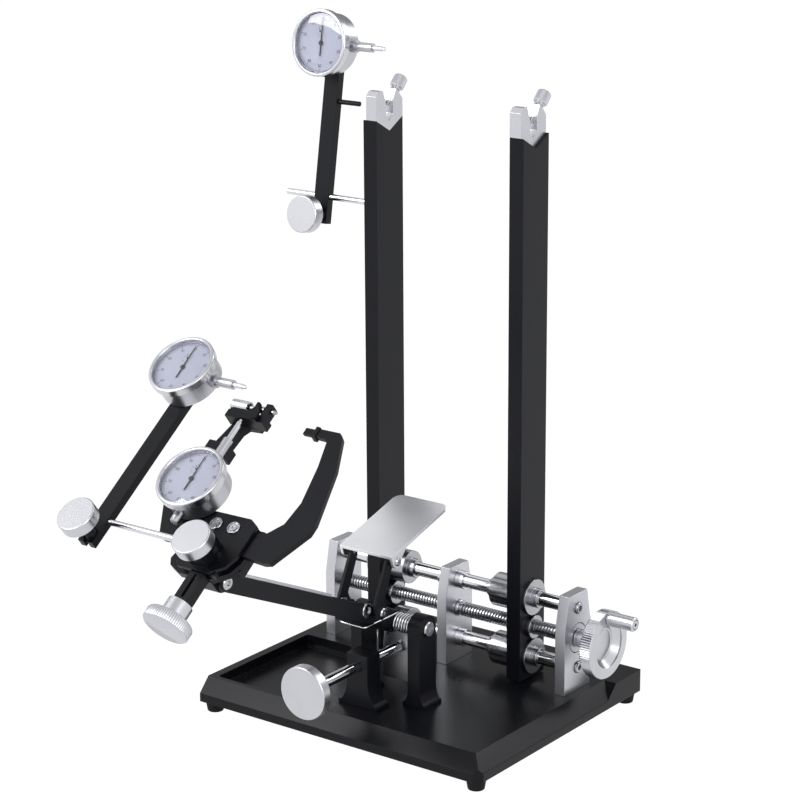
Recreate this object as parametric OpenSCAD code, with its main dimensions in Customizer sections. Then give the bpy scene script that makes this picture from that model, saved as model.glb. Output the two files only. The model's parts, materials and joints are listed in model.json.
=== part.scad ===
// Wheel truing stand: a self-centring carriage with two uprights on guide rods,
// driven by one left/right-hand screw, and a sprung swinging arm that carries
// an open caliper head with dial indicators.
// Units are millimetres. The origin is the centre of the base slab's underside,
// X runs along the carriage rods (handwheel at +X), +Y is the back, +Z is up.

/* [Base] */
// Width of the base slab, along X
base_w = 300; // [280:1:340]
// Depth of the base slab, along Y
base_d = 248; // [230:1:280]
// Thickness of the base slab
base_h = 20.6; // [16:0.1:26]
// Height of the upright lip below the bevels
lip_h = 7.7; // [5:0.1:10]
// Width of the bevels on the front and right sides
bevel = 12; // [6:0.5:14]
// Depth of the tool tray
tray_depth = 11; // [6:0.5:13]
// Height of the rubber feet
foot_h = 8.86; // [6:0.02:12]
// Top diameter of the rubber feet
foot_d = 17; // [14:0.5:20]

/* [Carriage] */
// Height of the carriage centre line (lead screw) above the origin
screw_z = 68.7; // [66:0.1:72]
// Y of the carriage centre line
rail_y = 51.05; // [45:0.05:57]
// Rise of the upper rod over the lead screw
rod_up = 27.2; // [25:0.1:29]
// Drop of the lower rod under the lead screw
rod_down = 27.1; // [25:0.1:29]
// Diameter of the guide rods
rod_d = 12.4; // [10:0.1:14]
// Thread diameter of the lead screw
screw_d = 12.8; // [10:0.1:14]
// Thickness of the three standing plates
plate_t = 10.2; // [8:0.1:12]
// Width of the three standing plates
plate_w = 40; // [36:0.5:44]
// Distance of an end plate's centre from the middle
plate_x = 125.4; // [120:0.1:130]
// Radial clearance of the running fits
run_fit = 0.05; // [0.02:0.01:0.1]
// Radial clearance of the fixed fits
seat_fit = 0.02; // [0.01:0.01:0.04]

/* [Uprights] */
// Inner face of an upright from the middle
up_x = 69; // [66:0.5:74]
// Thickness of an upright
up_t = 14; // [12:0.5:16]
// Depth of an upright
up_d = 37.6; // [34:0.2:42]
// Height of the upright's top above the origin
up_top = 500.2; // [440:0.2:560]
// Diameter of the inner bushes
bush_d = 30; // [26:0.5:34]
// Length of the inner bushes
bush_l = 22; // [16:0.5:26]
// Width of the axle slot in a dropout
axle_w = 10.4; // [9:0.1:12.4]
// Thickness of a dropout
drop_t = 11; // [9:0.5:12]

/* [Handwheel] */
// Outer radius of the handwheel
wheel_r = 30; // [26:0.5:34]
// Crank radius of the grip
grip_r = 24.5; // [20:0.5:26]
// Diameter of the grip
grip_d = 12.5; // [10:0.1:14]
// Length of the grip
grip_l = 26.5; // [20:0.5:32]

/* [Arm] */
// Y of the arm's pivot pin
pin_y = -52.3; // [-56:0.1:-48]
// Height of the arm's pivot pin
pin_z = 89.5; // [86:0.1:94]
// Slope of the arm from level, rising to the front
arm_slope = 24.3; // [20:0.1:28]
// Distance from the pivot pin to the head's pivot screw
arm_l = 239.5; // [220:0.5:260]
// Half width over the arm's side plates
arm_half = 12; // [11:0.5:12.5]
// Thickness of a side plate of the arm
side_t = 3; // [2.5:0.1:3.4]
// Height of the arm's side plates
arm_h = 15; // [13:0.5:17]
// Diameter of the pivot pin
pin_d = 10; // [8:0.5:11]
// Wire of the return spring
wire_d = 1.7; // [1.4:0.1:1.9]
// Turns of the return spring
spring_turns = 6; // [4:1:6]
// Half width of the pedal plate
pedal_half = 27.8; // [25:0.2:32]

/* [Stop screw] */
// Height of the stop screw
stop_z = 57.1; // [55:0.1:59]
// Diameter of the stop screw
stop_d = 9.6; // [8:0.2:11]
// Diameter of the stop screw's knob
knob_d = 46; // [40:0.5:50]
// Half width of the stop block
block_half = 11; // [9:0.5:13]

/* [Caliper head] */
// Slope of the caliper plane from level
cal_slope = 37; // [35:0.5:40]
// Half distance between the pivots of the two caliper arms
jaw_x = 9; // [8.8:0.1:9.6]
// Thickness of the caliper arms
jaw_t = 5; // [4:0.1:5.4]
// Thickness of the head's cover plate
cover_t = 3; // [2.5:0.1:3.5]
// Diameter of the caliper knob
cal_knob_d = 40; // [34:0.5:46]

/* [Dial indicators] */
// Outer radius of a dial's bezel
bezel_r = 29.5; // [27:0.1:31]
// Radius of a dial's case
case_r = 26.9; // [25:0.1:28.4]
// Depth of a dial from its back to the front of its bezel
dial_t = 24; // [22:0.1:26]
// Diameter of a dial's stem
stem_d = 8; // [7:0.1:9]
// Diameter of a dial's plunger
plunger_d = 4.6; // [4:0.1:5]
// Width of the dial bars
bar_w = 15.5; // [14:0.1:18]
// Thickness of the dial bars
bar_t = 7.4; // [6.8:0.1:9]
// Diameter of the dial rods
dial_rod_d = 5.6; // [5:0.1:6]
// Distance along a bar from its rod to the centre of its dial
bar_l = 144; // [130:0.5:155]
// Diameter of the clamp knobs
clamp_d = 33; // [28:0.5:36]

/* [Part] */
// Which sub-part to draw

/* [Hidden] */
$fn = 64;
eps = 0.01;
black = [0.13, 0.135, 0.15];
silver = [0.80, 0.81, 0.83];
steel = [0.66, 0.67, 0.70];
chrome = [0.88, 0.89, 0.91];
rubber = [0.08, 0.08, 0.085];
dark = [0.10, 0.10, 0.12];
rod_z = [screw_z + rod_up, screw_z - rod_down];
foot_x = base_w / 2 - foot_d / 2 - 1.2;
foot_y = base_d / 2 - foot_d / 2 - 1.2;
foot_seat = 1.2;
plate_top = screw_z + rod_up + 13.4;
plate_in = plate_x - plate_t / 2;
plate_out = plate_x + plate_t / 2;
up_foot = base_h + 1.2;
up_out = up_x + up_t;
notch = 10.6;
axle_z = up_top + 5.6;
tray_x0 = -base_w / 2 + 8.4;
tray_x1 = -34;
tray_y0 = -base_d / 2 + 15.6;
tray_y1 = 17.7;
jaw_s = -103.3;
jaw_top = -0.5;
jaw_bot = jaw_top - jaw_t;
cover_bot = jaw_top + 0.3;
cover_top = cover_bot + cover_t;
body_top = jaw_bot - 0.3;
head_y = pin_y - arm_l * cos(arm_slope);
head_z = pin_z + arm_l * sin(arm_slope);
// Arm's end in the head's own frame, and that frame's origin between the feelers
head_s = -138.69773;
head_n = -20.75031;
cal_o = [0, head_y - head_s * cos(cal_slope) + head_n * sin(cal_slope),
  head_z - head_s * sin(cal_slope) - head_n * cos(cal_slope)];
rod_s = -127.1;
rod_n = cover_top + 3.6 + dial_rod_d / 2 - 2.8;
bar_a_x = -111;
bar_c_x = -142.5;
rod_c_z = 423.84;
lean_c = 80.6;
dial_back = 8.5;
knob_s = -16;
dial_b_x = -39.6;
dial_b_s = -80.1;
dial_b_n = cover_top + 0.5 + dial_back;
crank_x = dial_b_x + 10.5;
crank_s = -4.5;
feel_s = 6;
feel_n = 7;
coil_r = 7.45;
coil_x0 = 14.2;
hook_left = -42;
hook_right = -22;
coil_x1 = 31;
pitch = (coil_x1 - coil_x0) / spring_turns;

// Placement helpers
module at_head() translate(cal_o) rotate([cal_slope, 0, 0]) children();
module at_low_rod() at_head() translate([0, rod_s, rod_n]) children();
module at_up_rod() translate([0, rail_y, rod_c_z]) rotate([lean_c, 0, 0]) children();
module at_pin() translate([0, pin_y, pin_z]) children();
module along_arm() at_pin() rotate([-arm_slope, 0, 0]) children();
module x_rod(x0, x1, d) translate([x0, 0, 0]) rotate([0, 90, 0]) cylinder(d = d, h = x1 - x0);
module y_rod(y0, y1, d) translate([0, y1, 0]) rotate([90, 0, 0]) cylinder(d = d, h = y1 - y0);
module sideways(x0, t) translate([x0, 0, 0]) rotate([90, 0, 90]) linear_extrude(t) children();
module ring(d0, d1, h) difference() {
  cylinder(d = d0, h = h);
  translate([0, 0, -1]) cylinder(d = d1, h = h + 2);
}
// A turned head with an edge chamfer, standing on z = 0
module turned(d, h, c = 0.6) {
  cylinder(d = d, h = h - c);
  translate([0, 0, h - c]) cylinder(d1 = d, d2 = d - 2 * c, h = c);
}
// A disc knob with both edges chamfered, its outer face at z = 0, body to z = -h
module knob_disc(d, h, c = 1) translate([0, 0, -h]) {
  cylinder(d1 = d - 2 * c, d2 = d, h = c);
  translate([0, 0, c]) cylinder(d = d, h = h - 2 * c);
  translate([0, 0, h - c]) cylinder(d1 = d, d2 = d - 2 * c, h = c);
}
// A socket-head screw's hexagon
module hex_socket(d, h) cylinder(d = d, h = h, $fn = 6);

// Base slab with front and right bevels, a full back-right block and a tool tray
module base_plate() color(black) difference() {
  translate([-base_w / 2, -base_d / 2, 0]) cube([base_w, base_d, base_h]);
  translate([0, -base_d / 2, lip_h]) rotate([90, 0, 90])
    linear_extrude(base_w + 20, center = true)
      polygon([[-5, 0], [0, 0], [bevel, base_h - lip_h], [bevel, 30], [-5, 30]]);
  intersection() {
    translate([base_w / 2, 0, lip_h]) rotate([90, 0, 0])
      linear_extrude(base_d + 20, center = true)
        polygon([[5, 0], [0, 0], [-bevel, base_h - lip_h], [-bevel, 30], [5, 30]]);
    translate([-base_w, 0, 0]) rotate([90, 0, 90]) linear_extrude(2 * base_w)
      polygon([[-base_d, lip_h - 1], [70, lip_h - 1], [70, lip_h],
        [83.6, base_h], [83.6, 40], [-base_d, 40]]);
  }
  translate([base_w / 2, -base_d / 2, base_h / 2]) rotate([0, 0, 45])
    cube([9, 9, base_h + 2], center = true);
  tray_cut(0, tray_depth - 2);
  tray_cut(3.4, tray_depth);
  for (sx = [-1, 1]) for (sy = [-1, 1]) translate([sx * foot_x, sy * foot_y, -1]) {
    cylinder(d = 5, h = 8, $fn = 24);
    cylinder(d = foot_d + 0.6, h = 1 + foot_seat);
  }
}
module tray_cut(inset, depth) translate([0, 0, base_h - depth]) linear_extrude(depth + 1)
  polygon(concat(
    [for (a = [180:22.5:270]) [tray_x0 + inset + 3 + 3 * cos(a), tray_y0 + inset + 3 + 3 * sin(a)]],
    [for (a = [270:22.5:360]) [tray_x1 - inset - 3 + 3 * cos(a), tray_y0 + inset + 3 + 3 * sin(a)]],
    [for (a = [0:22.5:90]) [tray_x1 - inset - 3 + 3 * cos(a), tray_y1 - inset - 3 + 3 * sin(a)]],
    [for (a = [90:22.5:180]) [tray_x0 + inset + 3 + 3 * cos(a), tray_y1 - inset - 3 + 3 * sin(a)]]));

// Four tapered feet, each in a shallow recess with a spigot in the slab
module rubber_feet() color(rubber)
  for (sx = [-1, 1]) for (sy = [-1, 1])
    translate([sx * foot_x, sy * foot_y, 0]) {
      translate([0, 0, -foot_h]) cylinder(d1 = foot_d - 2.6, d2 = foot_d, h = foot_h);
      cylinder(d = foot_d, h = foot_seat);
      cylinder(d = 5 - 2 * seat_fit, h = 5.5);
    }

// One standing plate's outline in Y and Z
module plate_shape() translate([rail_y, 0]) polygon([
  [-plate_w / 2, base_h], [-plate_w / 2, 79.9], [-14.1, plate_top],
  [14.1, plate_top], [plate_w / 2, 79.9], [plate_w / 2, base_h]]);
module end_plate(s) color(silver) difference() {
  sideways(s * plate_x - plate_t / 2, plate_t) plate_shape();
  for (z = rod_z) translate([s * (plate_in - 1), rail_y, z]) rotate([0, s * 90, 0]) {
    cylinder(d = rod_d + 2 * seat_fit, h = 5);
    cylinder(d = 6.2, h = 40);
    translate([0, 0, plate_t - 3]) cylinder(d = 10.6, h = 10);
  }
  translate([0, rail_y, screw_z]) x_rod(-200, 200, 10 + 2 * run_fit);
  translate([s * (plate_out - 3), rail_y, screw_z]) rotate([0, s * 90, 0]) ring(26.8, 25.6, 10);
}
module left_plate() end_plate(-1);
module right_plate() end_plate(1);
module centre_plate() color(silver) difference() {
  sideways(-plate_t / 2, plate_t) plate_shape();
  for (z = rod_z) translate([0, rail_y, z]) x_rod(-20, 20, rod_d + 2 * seat_fit);
  translate([0, rail_y, screw_z]) x_rod(-20, 20, 10 + 2 * run_fit);
}

// Two guide rods, and the collars that lock them to the centre plate
module guide_rods() color(chrome) for (z = rod_z) translate([0, rail_y, z]) {
  difference() {
    x_rod(-plate_in - 4, plate_in + 4, rod_d);
    for (s = [-1, 1]) translate([s * (plate_in + 5), 0, 0]) rotate([0, -s * 90, 0])
      cylinder(d = 6 + 2 * seat_fit, h = 14);
  }
  for (s = [-1, 1]) translate([s * (plate_t / 2 + 4.1), 0, 0]) rotate([0, 90, 0])
    translate([0, 0, -4]) ring(16, rod_d + 2 * seat_fit, 8);
}
module rod_end_screws() color(steel) for (s = [-1, 1]) for (z = rod_z)
  translate([s * plate_out, rail_y, z]) rotate([0, s * 90, 0]) difference() {
    union() {
      translate([0, 0, -14]) cylinder(d = 6, h = 12.5);
      translate([0, 0, -2]) turned(10, 4.2, 0.6);
    }
    translate([0, 0, 0]) hex_socket(5.4, 4);
  }
// A flared foot outline: half width at the top, half width at the foot, heights
function flare_side(h0, h1, z0, z1) = concat(
  [[h1, z0], [h1, z0 + 3]],
  [for (a = [15:15:90]) [h1 - (h1 - h0) * sin(a), z0 + 3 + (h1 - h0) * 2.2 * (1 - cos(a))]],
  [[h0, z1]]);
module flare_both(h0, h1, z0, z1) {
  side = flare_side(h0, h1, z0, z1);
  n = len(side);
  polygon(concat(side, [for (i = [n - 1:-1:0]) [-side[i][0], side[i][1]]]));
}
// The two cheeks that carry the arm's pivot pin
module cheek(xc, half) intersection() {
  translate([xc, pin_y + 12, 0]) rotate([90, 0, 0])
    linear_extrude(24) flare_both(half, half + 5.6, base_h, pin_z + 20);
  sideways(xc - 20, 40) union() {
    translate([pin_y, pin_z]) circle(r = 12);
    translate([pin_y - 12, base_h]) square([24, pin_z - base_h]);
  }
}
module bracket_cheeks() color(black) difference() {
  union() {
    cheek(39.75, 6.25);
    cheek(-21.35, 5.65);
  }
  at_pin() {
    x_rod(-40, 60, pin_d + 2 * seat_fit);
    translate([0, coil_r, hook_left]) x_rod(-24, 0, wire_d + 0.6);
    translate([0, coil_r, hook_right]) x_rod(20, 42, wire_d + 0.6);
  }
}
module adjuster_block() color(black) difference() {
  translate([0, -73.3, 0]) rotate([90, 0, 0]) linear_extrude(18)
    flare_both(block_half, block_half + 9.5, base_h, stop_z + 11);
  translate([0, 0, stop_z]) y_rod(-120, -50, stop_d + 2 * run_fit);
}
// Pivot pin across both cheeks with a button head at each end
module pivot_pin() color(steel) at_pin() difference() {
  union() {
    x_rod(-27, 46, pin_d);
    for (s = [0, 1]) translate([s ? 46 : -27, 0, 0]) rotate([0, s ? 90 : -90, 0]) {
      turned(13.6, 2.6, 1);
    }
  }
  translate([47, 0, 0]) rotate([0, 90, 0]) hex_socket(6, 4);
}

// A round wire along a list of points, one ring of six sides at each point
function unit(v) = v / norm(v);
function tang(p, i) = unit(p[min(i + 1, len(p) - 1)] - p[max(i - 1, 0)]);
function ring_at(p, i, r, up) = let (
    t = tang(p, i),
    a = unit(cross(t, up(p, i))),
    b = cross(t, a))
  [for (k = [0:5]) p[i] + r * (cos(60 * k) * a + sin(60 * k) * b)];
module wire(p, r, up) {
  n = len(p);
  v = [for (i = [0:n - 1]) each ring_at(p, i, r, up)];
  side = [for (i = [0:n - 2]) for (k = [0:5])
    [6 * i + k, 6 * i + (k + 1) % 6, 6 * i + 6 + (k + 1) % 6, 6 * i + 6 + k]];
  polyhedron(v, concat(side, [[for (k = [5:-1:0]) k]], [[for (k = [0:5]) 6 * (n - 1) + k]]), convexity = 8);
}
// Coil points round the pin; the fixed end hooks into the right cheek
coil_pts = concat(
  [[coil_x1 + 6, coil_r, hook_right], [coil_x1 + 2, coil_r, hook_right],
    [coil_x1 + 0.4, coil_r, hook_right + 0.7], [coil_x1, coil_r, hook_right + 2], [coil_x1, coil_r, -4]],
  [for (k = [0:8 * spring_turns + 2]) [coil_x1 - pitch * k / 8, coil_r * cos(45 * k), coil_r * sin(45 * k)]]);
// The left end: over the pin, down behind it and into the left cheek
left_x = -arm_half - 1.3;
left_pts = concat(
  [for (a = [90:-22.5:0]) [left_x, coil_r * cos(a), coil_r * sin(a)]],
  [[left_x, coil_r, hook_left + 2], [left_x - 0.4, coil_r, hook_left + 0.7],
    [left_x - 2, coil_r, hook_left], [left_x - 6, coil_r, hook_left]]);
coil_up = function (p, i) [1, 0.3, 0.1];
coil_gap = min([for (i = [5:len(coil_pts) - 9]) norm(coil_pts[i] - coil_pts[i + 8])]) - wire_d;
echo(spring_self_gap = coil_gap);
module torsion_spring() color(chrome) at_pin() {
  wire(coil_pts, wire_d / 2, coil_up);
  wire(left_pts, wire_d / 2, leg_up);
}
// The moving leg: forward from the coil, across under the arm and back to the pin
leg_x = coil_x0 - pitch / 4;
leg_y = -44.6;
leg_pts = concat(
  [[leg_x, -0.3, coil_r]],
  [for (a = [0:22.5:90]) [leg_x - 2.5 + 2.5 * cos(a), leg_y + 2.5 - 2.5 * sin(a), coil_r]],
  [for (a = [90:22.5:180]) [left_x + 2.5 + 2.5 * cos(a), leg_y + 2.5 - 2.5 * sin(a), coil_r]],
  [[left_x, -0.3, coil_r]]);
leg_up = function (p, i) [0.1, 0.2, 1];
module spring_leg() color(chrome) at_pin() wire(leg_pts, wire_d / 2, leg_up);

// Lead screw with plain journals at the plates
module lead_screw() color(steel) translate([0, rail_y, screw_z]) {
  x_rod(-plate_out, plate_out + 22, 10);
  for (s = [-1, 1]) {
    translate([s > 0 ? 8 : -plate_in + 0.2, 0, 0]) x_rod(0, plate_in - 8.2, screw_d);
    translate([s > 0 ? plate_t / 2 + 0.3 : -plate_t / 2 - 2.9, 0, 0]) x_rod(0, 2.6, 15);
  }
  x_rod(plate_out + 0.3, plate_out + 17.2, 16);
}
// Dished handwheel
module at_handwheel() translate([plate_out + 20.25, rail_y, screw_z]) rotate([0, 90, 0]) children();
module handwheel() color(silver) at_handwheel() difference() {
  union() {
    translate([0, 0, 11]) knob_disc(2 * wheel_r, 11, 0.8);
    translate([0, 0, -3]) cylinder(d = 20, h = 3.1);
  }
  translate([0, 0, 4]) cylinder(r1 = 13, r2 = 19.4, h = 7.1);
  translate([0, 0, -4]) cylinder(d = 10.04, h = 6);
  translate([-grip_r, 0, 3]) cylinder(d = 4.04, h = 10);
  translate([0, 0, -4]) ring(42, 24, 5);
}
module crank_grip() color(silver) at_handwheel() translate([-grip_r, 0, 11.25]) difference() {
  union() {
    cylinder(d1 = grip_d - 2, d2 = grip_d, h = 3);
    translate([0, 0, 3]) turned(grip_d, grip_l - 3, 1.2);
    translate([0, 0, -7]) cylinder(d = 4, h = 8);
  }
  translate([0, 0, grip_l - 2]) ring(8.6, 7.6, 4);
  translate([0, 0, grip_l - 2.4]) hex_socket(3.4, 4);
}

// Uprights: a plain bar with a V notch on top and bores for the bushes
module upright(s) color(black) difference() {
  sideways(s > 0 ? up_x : -up_out, up_t) translate([rail_y, 0]) polygon([
    [-up_d / 2, up_foot], [-up_d / 2, up_top], [0, up_top - notch],
    [up_d / 2, up_top], [up_d / 2, up_foot]]);
  for (z = rod_z) translate([s > 0 ? 0 : -200, rail_y, z]) x_rod(0, 200, 22 + 2 * seat_fit);
  translate([s > 0 ? 0 : -200, rail_y, screw_z]) x_rod(0, 200, 18 + 2 * seat_fit);
  if (s < 0) translate([0, rail_y, rod_c_z]) x_rod(-up_out - 1, -up_out + 10, dial_rod_d + 2 * seat_fit);
}
module bushes(s) color(silver) mirror([s > 0 ? 0 : 1, 0, 0]) {
  for (z = rod_z) translate([0, rail_y, z]) difference() {
    union() {
      x_rod(up_x - bush_l, up_x, bush_d);
      x_rod(up_x - bush_l - 6.6, up_x - bush_l, 17);
      x_rod(up_x, up_out, 22);
      x_rod(up_out, up_out + 3, 32);
      x_rod(up_out + 3, up_out + 9.4, 17);
    }
    x_rod(0, 130, rod_d + 2 * run_fit);
  }
  translate([0, rail_y, screw_z]) difference() {
    union() {
      x_rod(up_x, up_out, 18);
      x_rod(up_x - 6, up_x, 22);
      x_rod(up_out, up_out + 4, 21);
    }
    x_rod(0, 130, screw_d + 2 * run_fit);
  }
}
// Dropout: a six-sided plate with the axle slot
module dropout(s) color(silver) difference() {
  sideways(s > 0 ? up_x : -up_x - drop_t, drop_t) translate([rail_y, 0]) difference() {
    polygon([
      [0, up_top - notch], [up_d / 2, up_top], [up_d / 2, up_top + 15],
      [up_d / 2 - 8, up_top + 24.4], [-up_d / 2 + 4, up_top + 24.8],
      [-up_d / 2, up_top + 20.6], [-up_d / 2, up_top]]);
    polygon([
      [0, axle_z - 3 - axle_w / 2], [axle_w / 2, axle_z - 2], [axle_w / 2, axle_z + 9],
      [axle_w / 2 + 4.4, up_top + 26], [-axle_w / 2 - 4.4, up_top + 26],
      [-axle_w / 2, axle_z + 9], [-axle_w / 2, axle_z - 2]]);
  }
  translate([s * 74.5, rail_y, axle_z]) rotate([-43, 0, 0]) cylinder(d = 5 + 2 * run_fit, h = 60);
}
module thumbscrew(s) color(silver) translate([s * 74.5, rail_y, axle_z]) rotate([-43, 0, 0]) {
  translate([0, 0, 9.4]) cylinder(d = 5, h = 20);
  translate([0, 0, 23.2]) cylinder(d = 8.4, h = 3);
  translate([0, 0, 36.2]) knob_disc(12.4, 11, 1);
}
module right_upright() upright(1);
module left_upright() upright(-1);
module right_bushes() bushes(1);
module left_bushes() bushes(-1);
module right_dropout() dropout(1);
module left_dropout() dropout(-1);
module right_thumbscrew() thumbscrew(1);
module left_thumbscrew() thumbscrew(-1);

// Dial rods along X, one in the left upright and one in the head's clamp
module upper_rod() color(chrome) at_up_rod() x_rod(-183, -up_out + 9, dial_rod_d);
module lower_rod() color(chrome) at_low_rod() x_rod(bar_a_x - 12, 8, dial_rod_d);

// A slotted bar that turns on its rod and carries a dial on its front
module dial_bar(xc, peg) color(black) difference() {
  union() {
    translate([xc - bar_w / 2, -24, -bar_t / 2]) cube([bar_w, bar_l + 30, bar_t]);
    translate([xc, knob_s, bar_t / 2]) cylinder(d = 13, h = 12.6);
    if (peg) translate([0, 84, 0]) x_rod(xc, xc + bar_w / 2 + 23, 4.4);
  }
  x_rod(xc - 30, xc + bar_w / 2 + 0.3, dial_rod_d + 2 * run_fit);
  translate([xc, 0, 0]) x_rod(0, 30, dial_rod_d + 2 * run_fit);
  translate([xc - 2.2, -30, -10]) cube([4.4, 10, 20]);
  translate([xc, knob_s, 4]) cylinder(d = 5 + 2 * run_fit, h = 30);
}
module upper_bar() at_up_rod() dial_bar(bar_c_x, true);
module lower_bar() at_low_rod() dial_bar(bar_a_x, false);
module bar_knob(xc) color(silver) translate([xc, knob_s, 0]) {
  translate([0, 0, bar_t / 2 + 2]) cylinder(d = 5, h = 16);
  translate([0, 0, bar_t / 2 + 26.6]) knob_disc(clamp_d, 11, 0.8);
  translate([0, 0, bar_t / 2 + 13]) cylinder(d = 15, h = 3);
}
module upper_knob() at_up_rod() bar_knob(bar_c_x);
module lower_knob() at_low_rod() bar_knob(bar_a_x);

// Dial indicator in its own frame: stem along +X, face towards +Z,
// the stem's axis at z = 0 and the back at z = -dial_back
module dial_case() color(silver) difference() {
  union() {
    translate([0, 0, -dial_back]) cylinder(r1 = case_r - 1, r2 = case_r, h = 1);
    translate([0, 0, 1 - dial_back]) cylinder(r = case_r, h = dial_t - 8);
    x_rod(20, 49, stem_d);
    x_rod(case_r - 2, case_r + 5, stem_d + 3);
    x_rod(-case_r - 8, -20, stem_d);
    translate([-case_r - 9, 0, 0]) rotate([0, 90, 0]) cylinder(d1 = stem_d - 2, d2 = stem_d, h = 1);
  }
  x_rod(17, 60, plunger_d + 2 * run_fit);
  translate([0, 0, dial_t - dial_back - 7.5]) cylinder(r = 30, h = 10);
}
module dial_bezel() color(silver) translate([0, 0, dial_t - dial_back - 7.5]) rotate_extrude($fn = 96)
  polygon([[bezel_r - 3.4, 0], [bezel_r - 0.6, 0], [bezel_r, 0.6], [bezel_r, 6.3],
    [bezel_r - 1, 7.5], [bezel_r - 2.6, 7.5], [bezel_r - 3.4, 6]]);
module dial_plunger(more = 0) color(steel) {
  x_rod(27, 59 + more, plunger_d);
  x_rod(59 + more, 61 + more, 3.2);
  translate([61 + more, 0, 0]) sphere(d = 3.2, $fn = 24);
}
module dial_needle(a) color(dark) translate([0, 0, dial_t - dial_back - 5]) rotate([0, 0, a]) {
  translate([0, 0, -2.2]) cylinder(d = 1.6, h = 2.3);
  cylinder(d = 4, h = 1);
  linear_extrude(0.6) polygon([
    [-11.4, -0.55], [-11.4, 0.55], [0, 0.45], [22.5, 0.2], [22.5, -0.2], [0, -0.45]]);
}
module at_dial_a() at_low_rod() translate([bar_a_x, bar_l, bar_t / 2 + dial_back]) children();
module at_dial_c() at_up_rod() translate([bar_c_x, bar_l - 10.5, bar_t / 2 + dial_back]) children();
module at_dial_b() at_head() translate([dial_b_x, dial_b_s, dial_b_n]) rotate([0, 0, 90]) children();
module dial_a_case() at_dial_a() dial_case();
module dial_a_bezel() at_dial_a() dial_bezel();
module dial_a_plunger() at_dial_a() dial_plunger();
module dial_a_needle() at_dial_a() dial_needle(92);
module dial_b_case() at_dial_b() dial_case();
module dial_b_bezel() at_dial_b() dial_bezel();
module dial_b_plunger() at_dial_b() dial_plunger(-dial_b_s - 72);
module dial_b_needle() at_dial_b() dial_needle(1);
module dial_c_case() at_dial_c() dial_case();
module dial_c_bezel() at_dial_c() dial_bezel();
module dial_c_plunger() at_dial_c() dial_plunger();
module dial_c_needle() at_dial_c() dial_needle(90);

// The swinging arm; the arm frame has its axis along -Y from the pin
module arm_side(s) difference() {
  along_arm() sideways(s > 0 ? arm_half - side_t : -arm_half, side_t) difference() {
    union() {
      translate([-arm_l, -arm_h / 2]) square([arm_l, arm_h]);
      translate([-arm_l, 0]) circle(d = arm_h);
      circle(r = 9.5);
    }
    circle(d = pin_d + 2 * run_fit);
    translate([-arm_l, 0]) circle(d = 6 + 2 * seat_fit);
  }
  translate([s * (arm_half - 0.75), lever_foot[0], lever_foot[1]]) x_rod(-1.75, 1.75, 4 + 2 * seat_fit);
}
module arm_sides() color(black) {
  arm_side(1);
  arm_side(-1);
}
module arm_strip() color(silver) along_arm()
  translate([-arm_half + side_t + 0.02, -arm_l + 17, arm_h / 2 - 1.2])
    cube([2 * (arm_half - side_t) - 0.04, 128, 3.4]);
// Tail block between the side plates, with the bar that carries the stop plate
tail_half = arm_half - side_t - 0.02;
module arm_tail() color(black) at_pin() difference() {
  union() {
    rotate([-arm_slope, 0, 0]) translate([-tail_half, -58, -10.4]) cube([2 * tail_half, 62, 16.4]);
    x_rod(-tail_half, tail_half, 19);
    sideways(-tail_half, 2 * tail_half) polygon([
      [-6, -4], [6, 4], [33, -14], [33, -31], [27.05, -31], [27.05, -20], [8, -9]]);
    translate([-17.5, 27.05, -31]) cube([35, 5.95, 12]);
  }
  x_rod(-40, 40, pin_d + 2 * run_fit);
}
module stop_plate() color(silver) translate([0, pin_y + 27, pin_z - 21]) difference() {
  rotate([-6, 0, 0]) translate([-17.5, -4.3, -42]) cube([35, 3.6, 42.4]);
  for (x = [-13.5, 13.5]) translate([x, 0, -3.4]) y_rod(-10, 5, 3.2);
}
module button(d, h, bore) difference() {
  turned(d, h, 0.9);
  translate([0, 0, h * 0.5]) hex_socket(bore, h);
}
module arm_screws() color(steel) for (s = [0, 1]) mirror([s, 0, 0]) {
  along_arm() translate([0, -arm_l, 0]) {
    x_rod(0, arm_half, 6);
    translate([arm_half, 0, 0]) rotate([0, 90, 0]) button(11, 2.6, 5);
  }
  along_arm() translate([arm_half, -46.2, 3]) rotate([0, 90, 0]) difference() {
    turned(12.6, 1.8, 0.5);
    translate([0, 0, 0.5]) cylinder(d = 8.2, h = 3);
  }
  translate([arm_half - 2, lever_foot[0], lever_foot[1]]) rotate([0, 90, 0]) {
    cylinder(d = 4, h = lever_x + lever_t - arm_half + 2);
    translate([0, 0, lever_x + lever_t - arm_half + 2]) button(8.8, 2.4, 3.4);
  }
  translate([lever_x + 0.2, ear_at()[0], ear_at()[1]]) rotate([0, 90, 0]) {
    cylinder(d = 4, h = pedal_half - lever_x - 0.1);
    translate([0, 0, pedal_half - lever_x - 0.2]) button(7.6, 2, 3);
  }
}
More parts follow.
